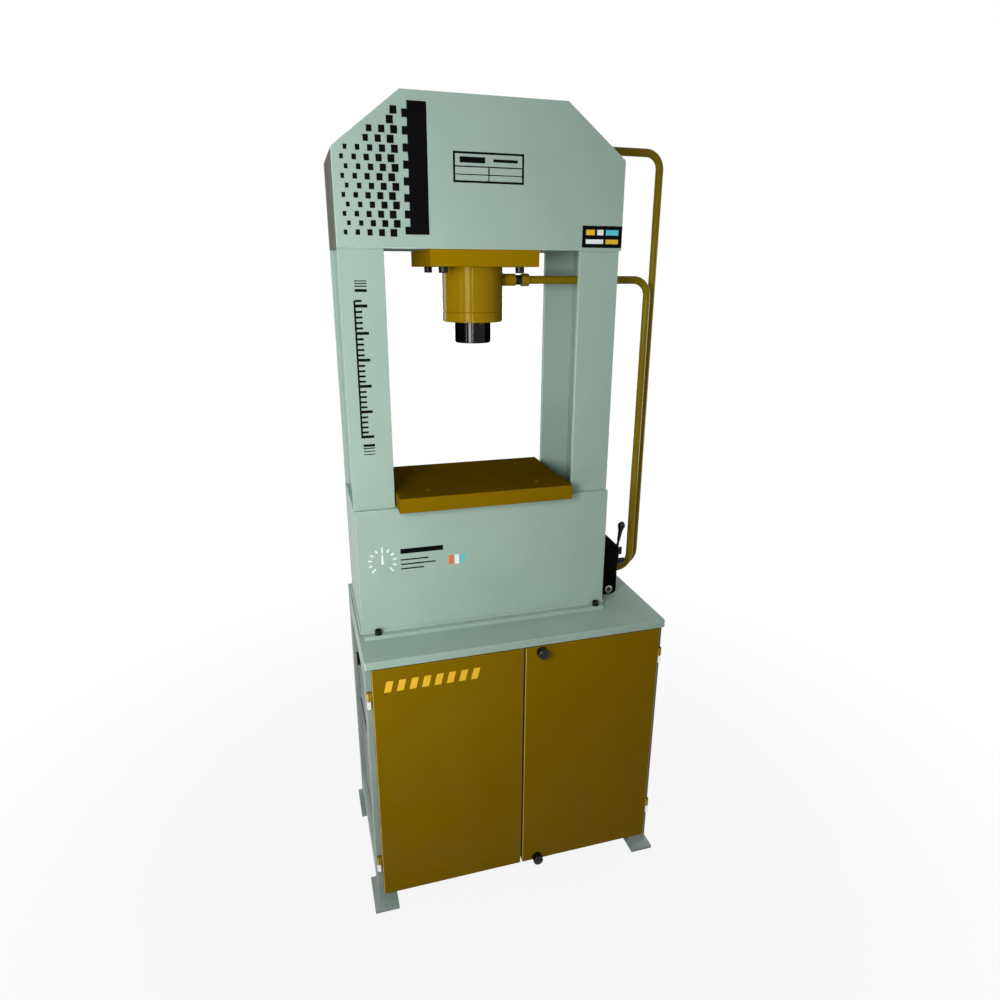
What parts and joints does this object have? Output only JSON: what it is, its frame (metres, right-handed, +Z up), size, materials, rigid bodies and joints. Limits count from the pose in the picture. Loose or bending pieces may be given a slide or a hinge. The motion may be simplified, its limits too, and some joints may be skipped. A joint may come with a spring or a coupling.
{
  "type": "hydraulic press",
  "caption": "Floor-standing H-frame hydraulic press: welded frame with cylinder and ram over a bed plate, on a steel cabinet with two doors, power pack inside and a hand lever valve.",
  "frame": {"origin": "centre of the four anchor holes on the floor plane", "axes": "+X to the right seen from the front, +Y to the back, +Z up"},
  "size_m": [0.865, 0.493, 1.998],
  "materials": {
    "frame_paint": "semi-gloss enamel",
    "cabinet_paint": "semi-gloss enamel",
    "ochre_paint": "gloss enamel",
    "black_steel": "black oxide",
    "chrome_rod": "hard chrome",
    "steel": "turned",
    "seal_rubber": "matt",
    "black_plastic": "gloss",
    "tank_paint": "satin",
    "motor_paint": "painted casting",
    "pump_alloy": "cast",
    "zinc": "zinc plated"
  },
  "bodies": {
    "press": {"back_panel": "cabinet_paint", "base_flange": "frame_paint", "bed_back_plate": "frame_paint", "bed_front_plate": "frame_paint", "bed_plate": "ochre_paint", "bed_side_plates": "frame_paint", "bed_support": "frame_paint", "bell_housing": "pump_alloy", "breather": "zinc", "cabinet_posts": "cabinet_paint", "cabinet_rails": "cabinet_paint", "cabinet_top": "cabinet_paint", "crown_back_plate": "frame_paint", "crown_bottom": "frame_paint", "crown_cover": "frame_paint", "crown_front_plate": "frame_paint", "crown_side_plates": "frame_paint", "cylinder_barrel": "ochre_paint", "cylinder_bolts": "black_steel", "cylinder_cap": "ochre_paint", "cylinder_gland": "ochre_paint", "cylinder_plate": "ochre_paint", "flange_bolts": "black_steel", "floor_pan": "cabinet_paint", "foot_plates": "cabinet_paint", "front_rails": "cabinet_paint", "hinge_pins": "cabinet_paint", "left_flanges": "frame_paint", "left_web": "frame_paint", "lever_bracket": "black_steel", "lower_pipe": "ochre_paint", "motor": "motor_paint", "oil_tank": "tank_paint", "port_unions": "black_steel", "pump": "pump_alloy", "right_flanges": "frame_paint", "right_web": "frame_paint", "rod_wiper": "seal_rubber", "side_panel": "cabinet_paint", "starter_box": "tank_paint", "starter_cover": "tank_paint", "suction_pipe": "zinc", "tank_lid": "tank_paint", "tank_pipes": "zinc", "union_nuts": "ochre_paint", "upper_pipe": "ochre_paint", "valve_body": "black_steel", "valve_plug": "zinc"},
    "ram_unit": {"ram": "chrome_rod", "piston": "steel", "piston_seals": "seal_rubber"},
    "left_door_leaf": {"left_door": "ochre_paint"},
    "right_door_leaf": {"right_door": "ochre_paint"},
    "latch_top_unit": {"latch_top": "black_plastic"},
    "latch_bottom_unit": {"latch_bottom": "black_plastic"},
    "lever_unit": {"hand_lever": "black_steel", "lever_knob": "black_plastic"},
    "spool_unit": {"valve_spool": "steel"},
    "shaft_unit": {"drive_shaft": "steel"},
    "switch_unit": {"starter_switch": "black_plastic"}
  },
  "joints": [
    {"name": "ram_slide", "type": "slide", "parent": "press", "child": "ram_unit", "axis": [0, 0, -1], "range_m": [0, 0.2]},
    {"name": "left_door_hinge", "type": "hinge", "parent": "press", "child": "left_door_leaf", "pos_m": [-0.391, -0.223, 0.4], "axis": [0, 0, -1], "range_deg": [0, 115]},
    {"name": "right_door_hinge", "type": "hinge", "parent": "press", "child": "right_door_leaf", "pos_m": [0.391, -0.223, 0.4], "axis": [0, 0, 1], "range_deg": [0, 115]},
    {"name": "latch_top_turn", "type": "hinge", "parent": "right_door_leaf", "child": "latch_top_unit", "pos_m": [0.048, -0.232, 0.722], "axis": [0, 1, 0], "range_deg": [0, 90]},
    {"name": "latch_bottom_turn", "type": "hinge", "parent": "right_door_leaf", "child": "latch_bottom_unit", "pos_m": [0.048, -0.232, 0.062], "axis": [0, 1, 0], "range_deg": [0, 90]},
    {"name": "lever_pivot", "type": "hinge", "parent": "press", "child": "lever_unit", "pos_m": [0.356, -0.004, 0.88], "axis": [0, 1, 0], "range_deg": [-12, 12]},
    {"name": "spool_slide", "type": "slide", "parent": "press", "child": "spool_unit", "axis": [1, 0, 0], "range_m": [-0.008, 0.008]},
    {"name": "shaft_turn", "type": "hinge", "parent": "press", "child": "shaft_unit", "pos_m": [0, 0.01, 0.502], "axis": [1, 0, 0], "continuous": true},
    {"name": "starter_switch_turn", "type": "hinge", "parent": "press", "child": "switch_unit", "pos_m": [-0.39, 0.07, 0.6], "axis": [-1, 0, 0], "range_deg": [0, 90]}
  ],
  "couplings": [
    {"joint": "spool_slide", "follows": "lever_pivot", "m_per_rad": -0.037}
  ]
}
